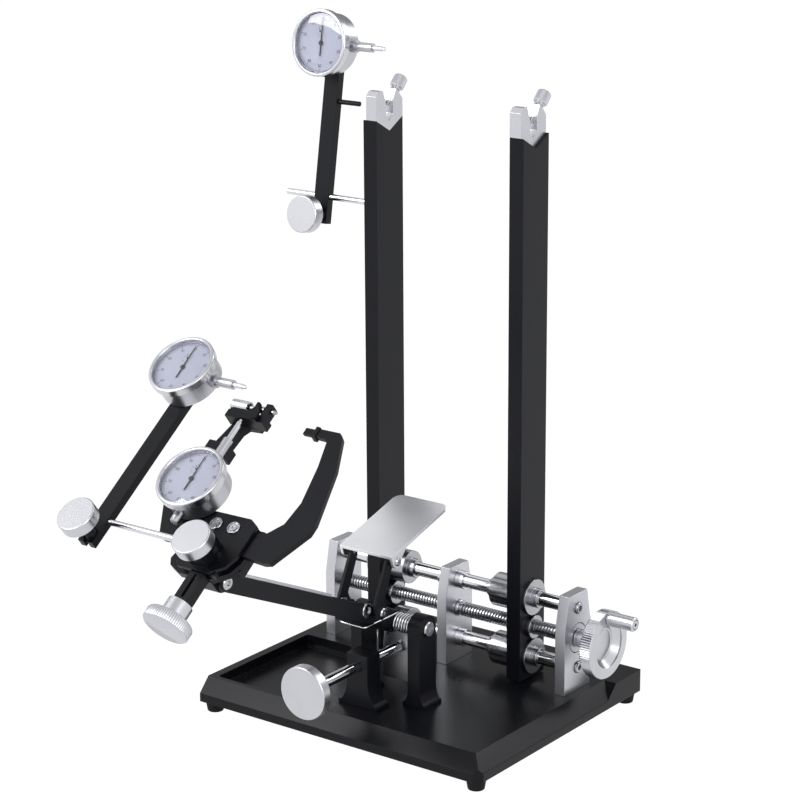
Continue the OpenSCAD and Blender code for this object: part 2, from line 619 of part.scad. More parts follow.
// Pedal with ears, on two leaning bars
pedal_tilt = 16.3;
ear_y = 6.2;
ear_z = -5.4;
lever_x = 17.5;
lever_t = 3;
function ear_at() = [-77.3 + ear_y * cos(pedal_tilt) - ear_z * sin(pedal_tilt),
  154.6 + ear_y * sin(pedal_tilt) + ear_z * cos(pedal_tilt)];
lever_foot = [-81.8, 107.6];
module at_pedal() translate([0, -77.3, 154.6]) rotate([pedal_tilt, 0, 0]) children();
module pedal() color(silver) at_pedal() difference() {
  union() {
    linear_extrude(2.6) polygon(concat(
      [[-pedal_half, 0], [pedal_half, 0]],
      [for (a = [0:15:90]) [pedal_half - 8 + 8 * cos(a), 78 + 8 * sin(a)]],
      [for (a = [90:15:180]) [-pedal_half + 8 + 8 * cos(a), 78 + 8 * sin(a)]]));
    for (s = [-1, 1]) sideways(s > 0 ? pedal_half - 2.6 : -pedal_half, 2.6) union() {
      translate([ear_y, ear_z]) circle(r = 6);
      polygon([[0, 1], [0, 0], [ear_y - 6, ear_z], [ear_y + 6, ear_z], [ear_y + 15, 0], [ear_y + 15, 1]]);
    }
  }
  translate([0, ear_y, ear_z]) x_rod(-40, 40, 4 + 2 * run_fit);
}
module lever_bars() color(black) for (s = [0, 1]) mirror([s, 0, 0]) difference() {
  union() {
    sideways(lever_x, lever_t) union() {
      translate(ear_at()) circle(r = 5.1);
      translate(lever_foot) circle(r = 6.4);
      polygon([ear_at() + [-5.1, 0], ear_at() + [4.8, -1.6], [-79.6, 117], lever_foot + [6.3, 0],
        lever_foot + [-6.3, -1], [-92, 115.6]]);
    }
    translate([0, ear_at()[0], ear_at()[1]]) x_rod(lever_x + 1, pedal_half - 2.8, 9);
    translate([0, lever_foot[0], lever_foot[1]]) x_rod(arm_half, lever_x + 1, 10);
  }
  translate([0, ear_at()[0], ear_at()[1]]) x_rod(lever_x - 1, 40, 4 + 2 * seat_fit);
  translate([0, lever_foot[0], lever_foot[1]]) x_rod(arm_half - 1, 40, 4 + 2 * seat_fit);
}

// Stop screw through the block, and its knob
module stop_screw() color(steel) translate([0, 0, stop_z]) {
  y_rod(-158, -33.6, stop_d);
  translate([0, -33.61, 0]) rotate([-90, 0, 0]) cylinder(d1 = stop_d, d2 = stop_d - 4, h = 2);
}
module stop_knob() color(silver) translate([0, -165.3, stop_z]) rotate([90, 0, 0]) difference() {
  union() {
    knob_disc(knob_d, 10, 0.8);
    translate([0, 0, -13.6]) cylinder(d1 = 14, d2 = 17, h = 4);
  }
  translate([0, 0, -20]) cylinder(d = stop_d + 2 * run_fit, h = 13);
}

// Caliper head, drawn in the caliper plane
module head_outline() polygon([
  [-28, -92], [19.5, -91.7], [28.3, -96.5], [27.7, -127.5], [23, -138.3], [10, -147],
  [-22, -148.6], [-34.5, -143.3], [-38, -137.5], [-36, -128], [-28, -122]]);
module head_body() color(black) at_head() difference() {
  union() {
    translate([0, 0, body_top - 6]) linear_extrude(6) head_outline();
    for (s = [-1, 1]) translate([s > 0 ? 7.6 : -15.6, -146, body_top - 1])
      cube([8, 12, cover_bot - body_top + 1]);
    translate([-7.2, -175, body_top - 3]) cube([14.4, 27.7, 9.4]);
    translate([-7.2, -150, body_top - 3]) cube([14.4, 5, 2.8]);
    sideways(-arm_half + side_t + 0.3, 2 * (arm_half - side_t) - 0.6) polygon(concat(
      [[head_s - 9, body_top - 4], [head_s - 9, head_n]],
      [for (a = [180:15:360]) [head_s + 9 * cos(a), head_n + 9 * sin(a)]],
      [[head_s + 9, head_n], [head_s + 16, body_top - 4]]));
    for (x = [-31, 13]) sideways(x, 14) polygon([
      [-132, body_top - 13], [-116, body_top - 13], [-120, body_top - 9], [-106, body_top - 9],
      [-110, body_top - 13], [-96, body_top - 13], [-92.5, body_top - 5], [-132, body_top - 5]]);
  }
  translate([-4.4, -176, jaw_bot - 0.1]) cube([8.8, 46, jaw_t - 0.4 + 0.2]);
  translate([-1.4, -171, jaw_top - 3]) cube([2.8, 22, 10]);
  translate([0, head_s, head_n]) x_rod(-30, 30, 6 + 2 * run_fit);
  for (s = [-1, 1]) translate([s * jaw_x, jaw_s, -40]) cylinder(d = 5 + 2 * seat_fit, h = 60);
}
module head_cover() color(black) at_head() {
  cover_plate();
  rod_clamp();
}
module cover_plate() difference() {
  translate([0, 0, cover_bot]) linear_extrude(cover_t) polygon([
    [-24, -92], [19.5, -91.7], [28.3, -96.5], [27.7, -127.5], [23, -138.3], [10, -147],
    [-20, -147], [-28, -138], [-28, -97]]);
  for (s = [-1, 1]) translate([s * jaw_x, jaw_s, -10]) cylinder(d = 5 + 2 * seat_fit, h = 30);
  translate([0, -134, -10]) cylinder(d = 5 + 2 * seat_fit, h = 30);
}
module head_screws() color(steel) at_head() for (s = [-1, 1]) translate([s * jaw_x, jaw_s, 0]) {
  translate([0, 0, body_top - 6]) cylinder(d = 5, h = cover_top - body_top + 6.1);
  translate([0, 0, cover_top]) difference() {
    turned(11.4, 1.6, 0.5);
    translate([0, 0, 0.5]) ring(9.4, 6.4, 3);
    translate([0, 0, 0.8]) hex_socket(3.2, 3);
  }
}
module rod_clamp() difference() {
  translate([-8.5, -143, cover_top - 1]) cube([17, 23, 14]);
  translate([0, rod_s, rod_n]) x_rod(-20, 20, dial_rod_d + 2 * seat_fit);
  translate([0, -134, cover_top + 1]) cylinder(d = 5 + 2 * run_fit, h = 30);
  translate([-10, rod_s + 2.6, rod_n - 0.5]) cube([20, 12, 1]);
}
module clamp_knob() color(silver) at_head() translate([0, -134, 0]) {
  translate([0, 0, cover_top + 2]) cylinder(d = 5, h = 16);
  translate([0, 0, 30]) knob_disc(clamp_d, 11, 0.8);
  translate([0, 0, 17]) cylinder(d = 15, h = 2.5);
}
// Wedge slider between the tails of the jaws, and the knob that moves it
module cal_slider() color(steel) at_head() difference() {
  translate([0, 0, jaw_bot + 0.2]) linear_extrude(jaw_t - 0.8) polygon([
    [-4.2, -152], [4.2, -152], [4.2, -128], [2.7, -123], [0, -116.6], [-2.7, -123], [-4.2, -128]]);
  translate([0, 0, (jaw_bot + jaw_top) / 2]) y_rod(-160, -128.5, 3 + 2 * run_fit);
}
module cal_knob() color(silver) at_head() translate([0, 0, (jaw_bot + jaw_top) / 2]) difference() {
  union() {
    y_rod(-190, -134, 3);
    translate([0, -200, 0]) rotate([90, 0, 0]) knob_disc(cal_knob_d, 10, 0.8);
    y_rod(-190, -175.3, 21.6);
  }
}
// Caliper jaws
module jaw_outline(tip) difference() {
  union() {
    polygon(concat(tip, [[44.9, -29.7], [50.5, -65.3], [47.5, -87], [37.9, -98.4], [30.6, -100.2],
      [20, -99], [jaw_x, -95.1], [jaw_x, -111.5], [14, -118], [28.8, -123.5], [51, -125],
      [57, -123.5], [74.5, -90.2], [74.7, -80.5], [63, -29.8]]));
    translate([jaw_x, jaw_s]) circle(r = 8.2);
    polygon([[3, -123], [11, -123], [15, -104], [3, -104]]);
  }
  translate([jaw_x, jaw_s]) circle(d = 5 + 2 * run_fit);
}
module right_jaw() color(black) at_head() {
  translate([0, 0, jaw_bot]) linear_extrude(jaw_t)
    jaw_outline([[50.7, 0.5], [46, 5], [24, 5], [24, -3], [35, -3.4], [38.8, -6.5]]);
  translate([11.8, -2.4, jaw_bot + 0.8]) cube([12.3, 6.4, jaw_t - 1.6]);
  translate([22, -4.4, jaw_bot - 1]) cube([4, 10.4, jaw_t + 2]);
}
module left_jaw() color(black) at_head() {
  mirror([1, 0, 0]) translate([0, 0, jaw_bot]) linear_extrude(jaw_t)
    jaw_outline([[56, -1], [28, -1], [28, -8], [40, -8.6], [43.4, -14]]);
  stem_clamp();
  feeler_bracket();
}
// Block on the left jaw that grips the dial's stem
module stem_clamp() difference() {
  translate([-56, -46, jaw_top - 1]) cube([20, 11, dial_b_n + 2.5 - jaw_top]);
  translate([dial_b_x, 0, dial_b_n]) y_rod(-60, -30, stem_d + 2 * seat_fit);
}
// Bracket on the left jaw's tip with the feeler's housing and guide
module feeler_bracket() difference() {
  union() {
    translate([-60, -8, jaw_top - 1]) cube([39, 7, feel_n + 4.4 - jaw_top]);
    translate([-60, -2, feel_n - 6]) cube([15, 6, 8]);
    translate([-27, -2, feel_n - 5]) cube([6, 13, 8.4]);
    translate([0, feel_s, feel_n]) x_rod(-61, -44, 9.4);
  }
  translate([0, feel_s, feel_n]) x_rod(-57, 0, 4 + 2 * run_fit);
  translate([crank_x, crank_s, 0]) cylinder(d = 3 + 2 * run_fit, h = 30);
}
module feeler_pin() color(steel) at_head() translate([0, feel_s, feel_n]) {
  x_rod(-52, -18.4, 4);
  x_rod(crank_x - 2.4, crank_x + 1.4, 6.4);
  translate([-18.5, 0, 0]) rotate([0, 90, 0]) cylinder(d1 = 4, d2 = 2.4, h = 2.9);
}
// Bell crank that turns the feeler's travel towards the dial's plunger
module bell_crank() color(black) at_head() translate([crank_x, crank_s, feel_n + 3.7]) {
  linear_extrude(2.8) polygon([[-13.5, -4.4], [-8, -4.4], [2.6, -3.6], [3.4, 0], [1.6, 4],
    [-2.7, 10], [-2.7, 13.5], [-5.2, 13.5], [-5.2, 8], [-13.5, 0]]);
  translate([-5.2, 7.5, -1.4]) cube([2.5, 6, 2]);
  translate([0, 0, 2.7]) cylinder(d = 6.4, h = 1.3);
  translate([0, 0, -5]) cylinder(d = 3, h = 6);
}

base_plate();
rubber_feet();
left_plate();
centre_plate();
right_plate();
guide_rods();
rod_end_screws();
bracket_cheeks();
adjuster_block();
pivot_pin();
torsion_spring();
lead_screw();
handwheel();
crank_grip();
right_upright();
right_bushes();
right_dropout();
right_thumbscrew();
left_upright();
left_bushes();
left_dropout();
left_thumbscrew();
upper_rod();
upper_bar();
upper_knob();
dial_c_case();
dial_c_bezel();
dial_c_plunger();
dial_c_needle();
arm_sides();
arm_strip();
arm_tail();
stop_plate();
arm_screws();
lever_bars();
pedal();
spring_leg();
stop_screw();
stop_knob();
head_body();
head_cover();
head_screws();
clamp_knob();
lower_rod();
cal_slider();
cal_knob();
right_jaw();
left_jaw();
feeler_pin();
bell_crank();
dial_b_case();
dial_b_bezel();
dial_b_plunger();
dial_b_needle();
lower_bar();
lower_knob();
dial_a_case();
dial_a_bezel();
dial_a_plunger();
dial_a_needle();
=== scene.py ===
# %% [markdown]
# # Dressing a wheel truing stand
#
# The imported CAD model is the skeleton: every plate, rod, knob and screw is already where it
# belongs, and each one rides on the body that moves it. This lesson gives those pieces the
# look of the real thing. It breaks their edges, cuts the knurls and threads, prints the dial
# faces, and lights the whole stand in a plain white studio.

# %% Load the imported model
import json
import math

import bpy
from mathutils import Matrix, Vector


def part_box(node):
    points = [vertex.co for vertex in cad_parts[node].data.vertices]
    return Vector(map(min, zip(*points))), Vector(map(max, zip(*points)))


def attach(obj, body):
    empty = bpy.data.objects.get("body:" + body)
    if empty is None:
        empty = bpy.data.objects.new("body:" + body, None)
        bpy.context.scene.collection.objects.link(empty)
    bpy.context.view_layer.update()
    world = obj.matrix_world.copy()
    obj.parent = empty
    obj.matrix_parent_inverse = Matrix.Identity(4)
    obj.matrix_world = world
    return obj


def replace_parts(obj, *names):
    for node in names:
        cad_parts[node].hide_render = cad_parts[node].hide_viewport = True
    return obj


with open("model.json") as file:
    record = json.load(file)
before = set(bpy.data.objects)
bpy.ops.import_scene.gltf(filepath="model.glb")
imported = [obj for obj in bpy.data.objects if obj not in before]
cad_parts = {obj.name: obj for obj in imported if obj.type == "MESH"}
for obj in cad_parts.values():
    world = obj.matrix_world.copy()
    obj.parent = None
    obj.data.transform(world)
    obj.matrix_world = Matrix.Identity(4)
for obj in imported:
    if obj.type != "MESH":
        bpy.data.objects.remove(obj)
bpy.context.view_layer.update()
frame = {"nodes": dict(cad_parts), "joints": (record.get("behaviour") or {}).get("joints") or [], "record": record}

MM = 0.001
record = frame["record"]
bodies = {node: body for body, nodes in record["behaviour"]["bodies"].items() for node in nodes}
joints = {joint["name"]: joint for joint in frame["joints"]}

# %% [markdown]
# ## Small helpers for the bench
#
# Operators work on whatever is selected, so a modelling step always starts from a clean
# selection. The record tells which way a joint points, and `reach` measures a CAD node along
# any direction, so nothing has to be placed by eye.

# %% Selection helpers
def fresh():
    """Object mode with nothing selected, so that the next primitive is alone."""
    if bpy.context.object and bpy.context.object.mode != "OBJECT":
        bpy.ops.object.mode_set(mode="OBJECT")
    bpy.ops.object.select_all(action="DESELECT")


def only(*pieces):
    """Leaves just these pieces selected, the first one active."""
    fresh()
    for piece in pieces:
        piece.select_set(True)
    bpy.context.view_layer.objects.active = pieces[0]
    return pieces[0]


def edit(piece, what="SELECT"):
    """Opens one piece in edit mode with all or nothing of it selected."""
    only(piece)
    bpy.ops.object.mode_set(mode="EDIT")
    bpy.ops.mesh.select_mode(type="VERT")
    bpy.ops.mesh.select_all(action=what)


# %% Measuring and placing helpers
def reach(node, direction):
    """How far a CAD node reaches along a direction, as (least, most) in metres."""
    along = [vertex.co.dot(direction) for vertex in frame["nodes"][node].data.vertices]
    return min(along), max(along)


def axes(origin, z_axis, x_axis):
    """A placing matrix with its Z and X along the two given directions."""
    z_axis = Vector(z_axis).normalized()
    y_axis = z_axis.cross(Vector(x_axis)).normalized()
    x_axis = y_axis.cross(z_axis)
    return Matrix.Translation(origin) @ Matrix((x_axis, y_axis, z_axis)).transposed().to_4x4()


def place(piece, matrix):
    """Writes a place into a piece's mesh, so that its object stays at the origin."""
    only(piece)
    piece.matrix_world = matrix @ piece.matrix_world
    bpy.ops.object.transform_apply(location=True, rotation=True, scale=True)
    return piece


def join(pieces):
    """Joins pieces into the first one."""
    only(*pieces)
    bpy.ops.object.join()
    return pieces[0]


def give(piece, name, body, material):
    """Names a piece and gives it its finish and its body."""
    piece.name = name
    piece.data.name = name
    piece.data.materials.clear()
    piece.data.materials.append(material)
    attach(piece, body)
    return piece


foot_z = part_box("rubber_feet")[0].z
print("the feet stand at", round(foot_z / MM, 2), "mm")

# %% [markdown]
# ## Turning on a lathe
#
# Knobs, wheels, bezels and feet are turned parts. One way is a stack of cylinders, but then
# the chamfers and dishes need booleans. A lathe is closer to how they are made: a point is
# extruded along half of the outline, and the outline is spun once round the axis.

# %% An outline and a lathe
def outline(points):
    """A chain of edges in the XZ plane, made by extruding one point. (radius, height) in mm."""
    fresh()
    bpy.ops.mesh.primitive_plane_add(size=MM)
    line = bpy.context.object
    edit(line)
    bpy.ops.mesh.merge(type="CENTER")
    here = Vector((0, 0, 0))
    for index, (radius, height) in enumerate(points):
        there = Vector((radius, 0, height)) * MM
        if index == 0:
            bpy.ops.transform.translate(value=there)
        else:
            bpy.ops.mesh.extrude_region_move(TRANSFORM_OT_translate={"value": there - here})
        here = there
    return line


def close_up(piece):
    """Welds seams and poles and turns the faces outwards."""
    edit(piece)
    bpy.ops.mesh.remove_doubles(threshold=0.002 * MM)
    bpy.ops.mesh.select_all(action="SELECT")
    bpy.ops.mesh.normals_make_consistent(inside=False)
    bpy.ops.object.mode_set(mode="OBJECT")
    return piece


def smooth(piece, degrees=35):
    """Shades curved faces smoothly and keeps the edges sharper than the angle."""
    only(piece)
    bpy.ops.object.shade_smooth_by_angle(angle=math.radians(degrees))
    return piece


def lathe(points, sides=96, degrees=35):
    """Spins an outline once round Z into a closed, smoothly shaded piece."""
    piece = outline(points)
    bpy.ops.mesh.select_all(action="SELECT")
    bpy.ops.mesh.spin(steps=sides, angle=math.tau, center=(0, 0, 0), axis=(0, 0, 1))
    return smooth(close_up(piece), degrees)


def arc(radius, height, size, start, end, steps=5):
    """Points of a round corner on an outline, in mm and degrees."""
    turns = [math.radians(start + (end - start) * step / steps) for step in range(steps + 1)]
    return [(radius + size * math.cos(turn), height + size * math.sin(turn)) for turn in turns]


# %% [markdown]
# ## Knurling
#
# A knurled rim has straight ribs that a wheel pressed in. On a rim with twice as many sides
# as ribs, pulling every other corner inwards gives the ribs their real outline, which a bump
# can't do at the edge of the wheel.

# %% Straight knurling
def knurl(piece, ribs, rim, depth, low, high):
    """Pulls every other corner of a turned rim inwards between two heights. Sizes in mm."""
    edit(piece, "DESELECT")
    bpy.ops.object.mode_set(mode="OBJECT")
    for vertex in piece.data.vertices:
        radius = math.hypot(vertex.co.x, vertex.co.y) / MM
        step = round(math.atan2(vertex.co.y, vertex.co.x) / math.tau * 2 * ribs)
        vertex.select = radius > rim - 0.02 and low < vertex.co.z / MM < high and step % 2 == 1
    bpy.ops.object.mode_set(mode="EDIT")
    scale = 1 - depth / rim
    bpy.ops.transform.resize(value=(scale, scale, 1), center_override=(0, 0, 0))
    bpy.ops.object.mode_set(mode="OBJECT")
    return smooth(piece)


# %% [markdown]
# ## Colours and shader nodes
#
# Every colour is written as an sRGB value, and one function turns it linear. Patterns are sized in real
# millimetres on Object coordinates: all pieces keep their place in their mesh, so the grain stays put when a part
# moves.

# %% Colour and node helpers
def linear(colour):
    """An sRGB hex colour as linear red, green, blue and alpha."""
    channels = [int(colour[i:i + 2], 16) / 255 for i in (1, 3, 5)]
    return [c / 12.92 if c <= 0.04045 else ((c + 0.055) / 1.055) ** 2.4 for c in channels] + [1]


def per_mm(size):
    """The scale of a texture whose features are about this many millimetres wide."""
    return 1 / (size * MM)


def add_node(tree, kind, inputs=None, **settings):
    """Adds a node with its settings; an input that is a socket is linked, others are set."""
    node = tree.nodes.new(kind)
    for name, value in settings.items():
        setattr(node, name, value)
    for name, value in (inputs or {}).items():
        if isinstance(value, bpy.types.NodeSocket):
            tree.links.new(value, node.inputs[name])
        else:
            node.inputs[name].default_value = value
    return node


def surface(name, build):
    """A material whose output is the shader that build makes in its node tree."""
    material = bpy.data.materials.new(name)
    material.use_nodes = True
    tree = material.node_tree
    tree.nodes.clear()
    shader = build(tree, add_node(tree, "ShaderNodeTexCoord").outputs["Object"])
    add_node(tree, "ShaderNodeOutputMaterial", {"Surface": shader.outputs[0]})
    return material


# A Mix node has an A and a B for every type of data: 6 and 7 are the colours' ones.
COLOUR_A, COLOUR_B, COLOUR_OUT = 6, 7, 2

# %% [markdown]
# ## Black anodised aluminium
#
# The slab, the uprights, the arm and the jaws are machined, blasted and anodised black. The
# oxide is a clear hard skin over a black metal: its gloss is low and soft, and the blasting
# leaves a very fine even grain. The real grain is about 0.05 mm wide, which no picture can
# show, so it is drawn at 0.35 mm. The slab is a little smoother than the rest.

# %% Black finishes
def black_skin(colour, worn, gloss, grain_size=0.35, grain_depth=0.03, cloud_size=55):
    """A soft black skin with a fine grain and clouds of handling. Sizes in mm."""
    def build(tree, point):
        grain = add_node(tree, "ShaderNodeTexNoise",
                         {"Vector": point, "Scale": per_mm(grain_size), "Detail": 3.0})
        cloud = add_node(tree, "ShaderNodeTexNoise",
                         {"Vector": point, "Scale": per_mm(cloud_size), "Detail": 4.0})
        tone = add_node(tree, "ShaderNodeMix",
                        {"Factor": cloud.outputs["Fac"], COLOUR_A: linear(colour),
                         COLOUR_B: linear(worn)}, data_type="RGBA")
        rough = add_node(tree, "ShaderNodeMapRange",
                         {"Value": cloud.outputs["Fac"], "To Min": gloss - 0.06,
                          "To Max": gloss + 0.08})
        bump = add_node(tree, "ShaderNodeBump",
                        {"Height": grain.outputs["Fac"], "Strength": 0.25,
                         "Distance": grain_depth * MM})
        return add_node(tree, "ShaderNodeBsdfPrincipled",
                        {"Base Color": tone.outputs[COLOUR_OUT], "Roughness": rough.outputs["Result"],
                         "Specular IOR Level": 0.16, "Normal": bump.outputs["Normal"]})
    return build


black_anodised = surface("black_anodised_aluminium", black_skin("#0d0e13", "#14151b", 0.34))
black_slab = surface("black_anodised_slab", black_skin("#0b0c11", "#111217", 0.28))
moulded_rubber = surface("moulded_black_rubber", black_skin("#111113", "#1a1a1c", 0.72, 0.6, 0.08))
needle_enamel = surface("blue_black_needle_enamel",
                        black_skin("#14151c", "#1b1c26", 0.3, 0.4, 0.005))
print("black finishes:", black_anodised.name, black_slab.name, moulded_rubber.name)

# %% [markdown]
# ## Bare aluminium: satin, turned and brushed
#
# The standing plates and the dropouts are blasted and clear anodised, an even satin. The
# knobs are faced on a lathe, which leaves rings round the axis: the length of the cross
# product with the axis is the distance from it, and one noise along that distance draws the
# rings. The real rings are 0.1 mm apart and are drawn at 0.6 mm. The pedal is brushed.

# %% Light metal finishes
def light_metal(colour, dull, gloss, lines=None, line_size=0.5, line_depth=0.008,
                cloud_size=24, grain_size=0.3):
    """Metal with clouds of gloss and, where lines gives a distance, grooves along it."""
    def build(tree, point):
        cloud = add_node(tree, "ShaderNodeTexNoise",
                         {"Vector": point, "Scale": per_mm(cloud_size), "Detail": 3.0})
        grain = add_node(tree, "ShaderNodeTexNoise",
                         {"Vector": point, "Scale": per_mm(grain_size), "Detail": 1.0})
        height = grain.outputs["Fac"]
        if lines:
            height = add_node(tree, "ShaderNodeTexNoise",
                              {"W": lines(tree, point), "Scale": per_mm(line_size), "Detail": 3.0},
                              noise_dimensions="1D").outputs["Fac"]
        tone = add_node(tree, "ShaderNodeMix",
                        {"Factor": cloud.outputs["Fac"], COLOUR_A: linear(colour),
                         COLOUR_B: linear(dull)}, data_type="RGBA")
        rough = add_node(tree, "ShaderNodeMapRange",
                         {"Value": cloud.outputs["Fac"], "To Min": gloss - 0.04,
                          "To Max": gloss + 0.06})
        bump = add_node(tree, "ShaderNodeBump",
                        {"Height": height, "Strength": 0.25, "Distance": line_depth * MM})
        return add_node(tree, "ShaderNodeBsdfPrincipled",
                        {"Base Color": tone.outputs[COLOUR_OUT], "Metallic": 1.0,
                         "Roughness": rough.outputs["Result"], "Normal": bump.outputs["Normal"]})
    return build


def rings_round(centre, axis):
    """The distance from a turning axis plus the distance along it: rings on faces and rims."""
    def lines(tree, point):
        arm = add_node(tree, "ShaderNodeVectorMath", {0: point, 1: centre}, operation="SUBTRACT")
        across = add_node(tree, "ShaderNodeVectorMath", {0: arm.outputs[0], 1: axis},
                          operation="CROSS_PRODUCT")
        radius = add_node(tree, "ShaderNodeVectorMath", {0: across.outputs[0]}, operation="LENGTH")
        along = add_node(tree, "ShaderNodeVectorMath", {0: arm.outputs[0], 1: axis},
                         operation="DOT_PRODUCT")
        return add_node(tree, "ShaderNodeMath",
                        {0: radius.outputs["Value"], 1: along.outputs["Value"]}).outputs[0]
    return lines


def lines_across(direction):
    """The distance along one direction: straight strokes square to it."""
    def lines(tree, point):
        return add_node(tree, "ShaderNodeVectorMath", {0: point, 1: direction},
                        operation="DOT_PRODUCT").outputs["Value"]
    return lines


def turned_metal(name, centre, axis, colour="#cbccd1", dull="#c2c3c9", gloss=0.31):
    """Aluminium faced on a lathe round its own axis."""
    return surface(name, light_metal(colour, dull, gloss, rings_round(centre, axis), 0.6, 0.003))


satin_aluminium = surface("satin_anodised_aluminium", light_metal("#cbccd1", "#bfc0c6", 0.33))
brushed_pedal = surface("brushed_aluminium_pedal",
                        light_metal("#eeeff3", "#e6e7ec", 0.38, lines_across((1, 0, 0)), 0.35, 0.015))
turned_bush = surface("turned_aluminium_bush",
                      light_metal("#b5b6ba", "#a4a5aa", 0.22, lines_across((1, 0, 0)), 0.4, 0.015))
chrome = surface("polished_chrome", light_metal("#d8d9dc", "#cfd0d4", 0.09, None, 0.5, 0.002))
bright_steel = surface("bright_zinc_plated_steel", light_metal("#b9babd", "#a5a6aa", 0.2))
print("metal finishes:", satin_aluminium.name, brushed_pedal.name, chrome.name)

# %% [markdown]
# ## Breaking the edges
#
# No machined edge is a knife edge: it catches a thin line of light, and that line is most of
# what makes black parts readable. The CAD meshes are loose triangles, so each node is copied,
# welded, cleared of the lines inside its flat faces and bevelled at its corners. Faces that
# meet at less than the round angle are shaded as one curve. Weighted normals keep the flat
# faces flat to the eye and let only the bevel turn the light.

# %% A copy of a CAD node with broken edges
FLAT = math.radians(0.6)
CORNER = math.radians(34)
ROUND = math.radians(50)


def dress(node, material, edge=0.4):
    """Stands for a CAD node with the same shape and broken edges. The edge is in mm."""
    source = frame["nodes"][node]
    fresh()
    piece = bpy.data.objects.new(node + "_finished", source.data.copy())
    bpy.context.scene.collection.objects.link(piece)
    edit(piece)
    bpy.ops.mesh.remove_doubles(threshold=0.001 * MM)
    bpy.ops.mesh.select_all(action="SELECT")
    bpy.ops.mesh.dissolve_limited(angle_limit=FLAT)
    bpy.ops.object.mode_set(mode="OBJECT")
    if edge:
        bevel = piece.modifiers.new("edge", "BEVEL")
        bevel.width = edge * MM
        bevel.segments = 2
        bevel.limit_method = "ANGLE"
        bevel.angle_limit = CORNER
        bpy.ops.object.modifier_apply(modifier="edge")
    bpy.ops.object.shade_smooth_by_angle(angle=ROUND)
    weigh = piece.modifiers.new("weigh", "WEIGHTED_NORMAL")
    weigh.keep_sharp = True
    bpy.ops.object.modifier_apply(modifier="weigh")
    give(piece, node + "_finished", bodies[node], material)
    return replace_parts(piece, node)


# %% The black pieces
dress("base_plate", black_slab, 0.7)
for node in ("bracket_cheeks", "adjuster_block", "right_upright", "left_upright", "upper_bar",
             "lower_bar", "arm_sides", "arm_tail", "lever_bars", "head_body", "head_cover",
             "right_jaw", "left_jaw", "bell_crank"):
    dress(node, black_anodised, 0.35)
print("black pieces dressed")

# %% The plates, dropouts and small steel parts
for node in ("left_plate", "centre_plate", "right_plate", "right_dropout", "left_dropout",
             "stop_plate", "arm_strip"):
    dress(node, satin_aluminium, 0.4)
dress("pedal", brushed_pedal, 0.35)
for node in ("right_bushes", "left_bushes"):
    dress(node, turned_bush, 0.4)
for node in ("rod_end_screws", "pivot_pin", "arm_screws", "head_screws", "cal_slider",
             "feeler_pin"):
    dress(node, bright_steel, 0.15)
for node in ("guide_rods", "upper_rod", "lower_rod", "stop_screw"):
    dress(node, chrome, 0.3)
print("light pieces dressed")

# %% [markdown]
# ## Knobs
#
# The clamp knobs and the stop knob are plain faced discs, so their CAD shape only needs its
# edges broken and rings round each knob's own axis. The axis comes from the joint that turns
# the knob.

# %% Smooth knobs and the crank grip
def own_axis(joint):
    """The point and direction of a turning joint."""
    return Vector(joints[joint]["pos_m"]), Vector(joints[joint]["axis"]).normalized()


for node, joint in (("upper_knob", "upper_knob_turn"), ("lower_knob", "lower_knob_turn"),
                    ("clamp_knob", "clamp_knob_turn"), ("stop_knob", "stop_knob_turn"),
                    ("crank_grip", "grip_turn")):
    centre, axis = own_axis(joint)
    dress(node, turned_metal("turned_" + node, centre, axis), 0.3)
print("smooth knobs dressed")

# %% [markdown]
# ## The handwheel
#
# A dished wheel with about ninety ribs on its rim and a hub at the back. Its CAD solid is
# smooth, so a turned and knurled wheel of the same size stands for it.

# %% Handwheel
WHEEL_R = 30.0
RIBS = 90
wheel_point, wheel_axis = own_axis("lead_screw_turn")
wheel_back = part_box("handwheel")[0].x
WHEEL_OUTLINE = (
    [(0, 0), (9.4, 0), (10, 0.6), (10, 3), (12, 3), (12.6, 4), (20.4, 4), (21, 3)]
    + [(29.2, 3), (WHEEL_R, 3.8), (WHEEL_R, 13.2), (29.2, 14), (21.2, 14)]
    + arc(19.6, 12.4, 2.2, 75, 20, 4) + [(15.6, 7.6)] + arc(13.4, 8.9, 1.9, -40, -90, 4) + [(0, 6.6)])
handwheel = knurl(lathe(WHEEL_OUTLINE, 2 * RIBS), RIBS, WHEEL_R, 0.75, 3.5, 13.5)
wheel_origin = Vector((wheel_back, wheel_point.y, wheel_point.z))
place(handwheel, axes(wheel_origin, wheel_axis, (0, 1, 0)))
give(handwheel, "handwheel_knurled", bodies["handwheel"],
     turned_metal("turned_handwheel", wheel_origin, wheel_axis, "#cbccd0", "#bbbcc1", 0.24))
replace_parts(handwheel, "handwheel")
print("handwheel", [round(d / MM, 1) for d in handwheel.dimensions])

# %% [markdown]
# ## Knurled knobs
#
# The caliper knob under the head and the two thumbscrews on the dropouts are gripped with
# the fingertips, so their rims are knurled between two plain edges. All are turned with
# their outer face at height zero and the shank going down from it.

# %% Caliper knob and thumbscrews
def knurled_knob(node, joint, points, ribs, rim, depth, band):
    """A turned and knurled knob whose outer face lies where the CAD node's does."""
    centre, axis = own_axis(joint)
    outer = reach(node, axis)[1]
    face = centre + axis * (outer - centre.dot(axis))
    side = axis.orthogonal()
    knob = knurl(lathe(points, 2 * ribs), ribs, rim, depth, *band)
    place(knob, axes(face, axis, side))
    give(knob, node + "_knurled", bodies[node],
         turned_metal("turned_" + node, face, axis))
    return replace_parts(knob, node)


